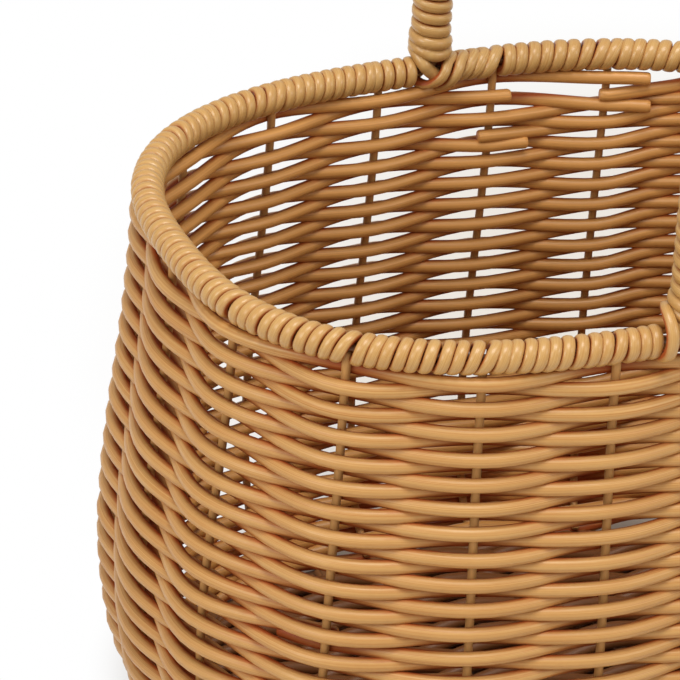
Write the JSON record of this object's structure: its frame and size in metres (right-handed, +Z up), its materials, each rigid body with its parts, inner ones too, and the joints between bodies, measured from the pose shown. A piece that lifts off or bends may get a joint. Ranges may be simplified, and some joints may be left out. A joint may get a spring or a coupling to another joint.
{
  "type": "carry basket",
  "caption": "Oval woven carry basket of round plastic strand on a wire frame, with a wrapped rim and a fixed wrapped hoop handle.",
  "frame": {"origin": "on the floor, under the middle of the basket", "axes": "+X along the oval, +Y across it in the plane of the handle, +Z up"},
  "size_m": [0.3023, 0.2397, 0.3864],
  "materials": {
    "strand": "satin honey-tan round plastic strand",
    "wrap": "satin honey-tan round plastic strand, wound tight",
    "base": "satin brown-tan round plastic strand",
    "stake": "plastic-coated wire",
    "wire": "brown coated steel wire"
  },
  "bodies": {
    "root": {"base_weave": "base", "base_wire_1": "wire", "base_wire_2": "wire", "base_wire_3": "wire", "base_wire_4": "wire", "base_wire_5": "wire", "foot_ring": "wire", "handle_rod": "wire", "handle_wrap": "wrap", "lash_back_inner": "strand", "lash_back_outer": "strand", "lash_front_inner": "strand", "lash_front_outer": "strand", "rim_wire": "wire", "rim_wrap": "wrap", "stake_1": "stake", "stake_10": "stake", "stake_11": "stake", "stake_12": "stake", "stake_13": "stake", "stake_14": "stake", "stake_15": "stake", "stake_16": "stake", "stake_17": "stake", "stake_18": "stake", "stake_2": "stake", "stake_3": "stake", "stake_4": "stake", "stake_5": "stake", "stake_6": "stake", "stake_7": "stake", "stake_8": "stake", "stake_9": "stake", "weaver_a1": "strand", "weaver_a2": "strand", "weaver_a3": "strand", "weaver_a4": "strand", "weaver_a5": "strand", "weaver_b1": "strand", "weaver_b2": "strand", "weaver_b3": "strand", "weaver_b4": "strand", "weaver_b5": "strand"}
  },
  "joints": []
}
